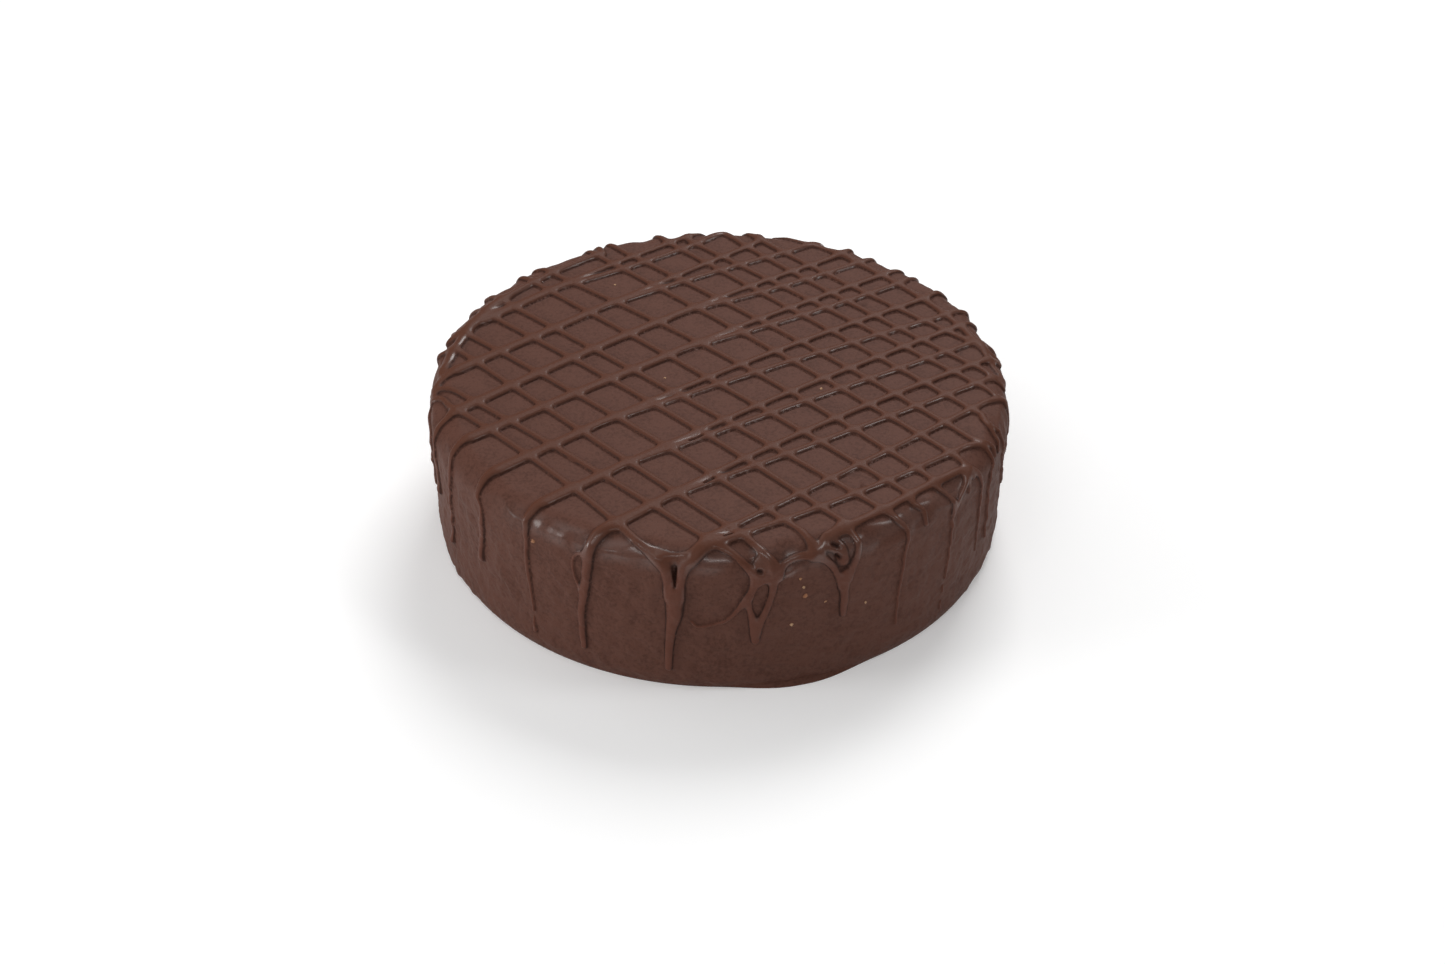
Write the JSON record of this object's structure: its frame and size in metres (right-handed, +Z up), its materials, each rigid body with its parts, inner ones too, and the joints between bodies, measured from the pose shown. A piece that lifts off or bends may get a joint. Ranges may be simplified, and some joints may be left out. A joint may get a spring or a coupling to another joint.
{
  "type": "mud cake",
  "caption": "Round chocolate mud cake under dark glaze, with a drizzled lattice on top and runs of glaze down its side.",
  "frame": {"origin": "centre of the flat base, on the surface that the cake stands on", "axes": "+Z up through the middle of the top; -Y towards the front, where the widest runs of glaze come down; +X to the right"},
  "size_m": [0.2281, 0.2291, 0.0656],
  "materials": {
    "chocolate_glaze": "satin dark chocolate glaze, smooth, glossier where it pooled and ran"
  },
  "bodies": {
    "root": {"cake": "chocolate_glaze"}
  },
  "joints": []
}
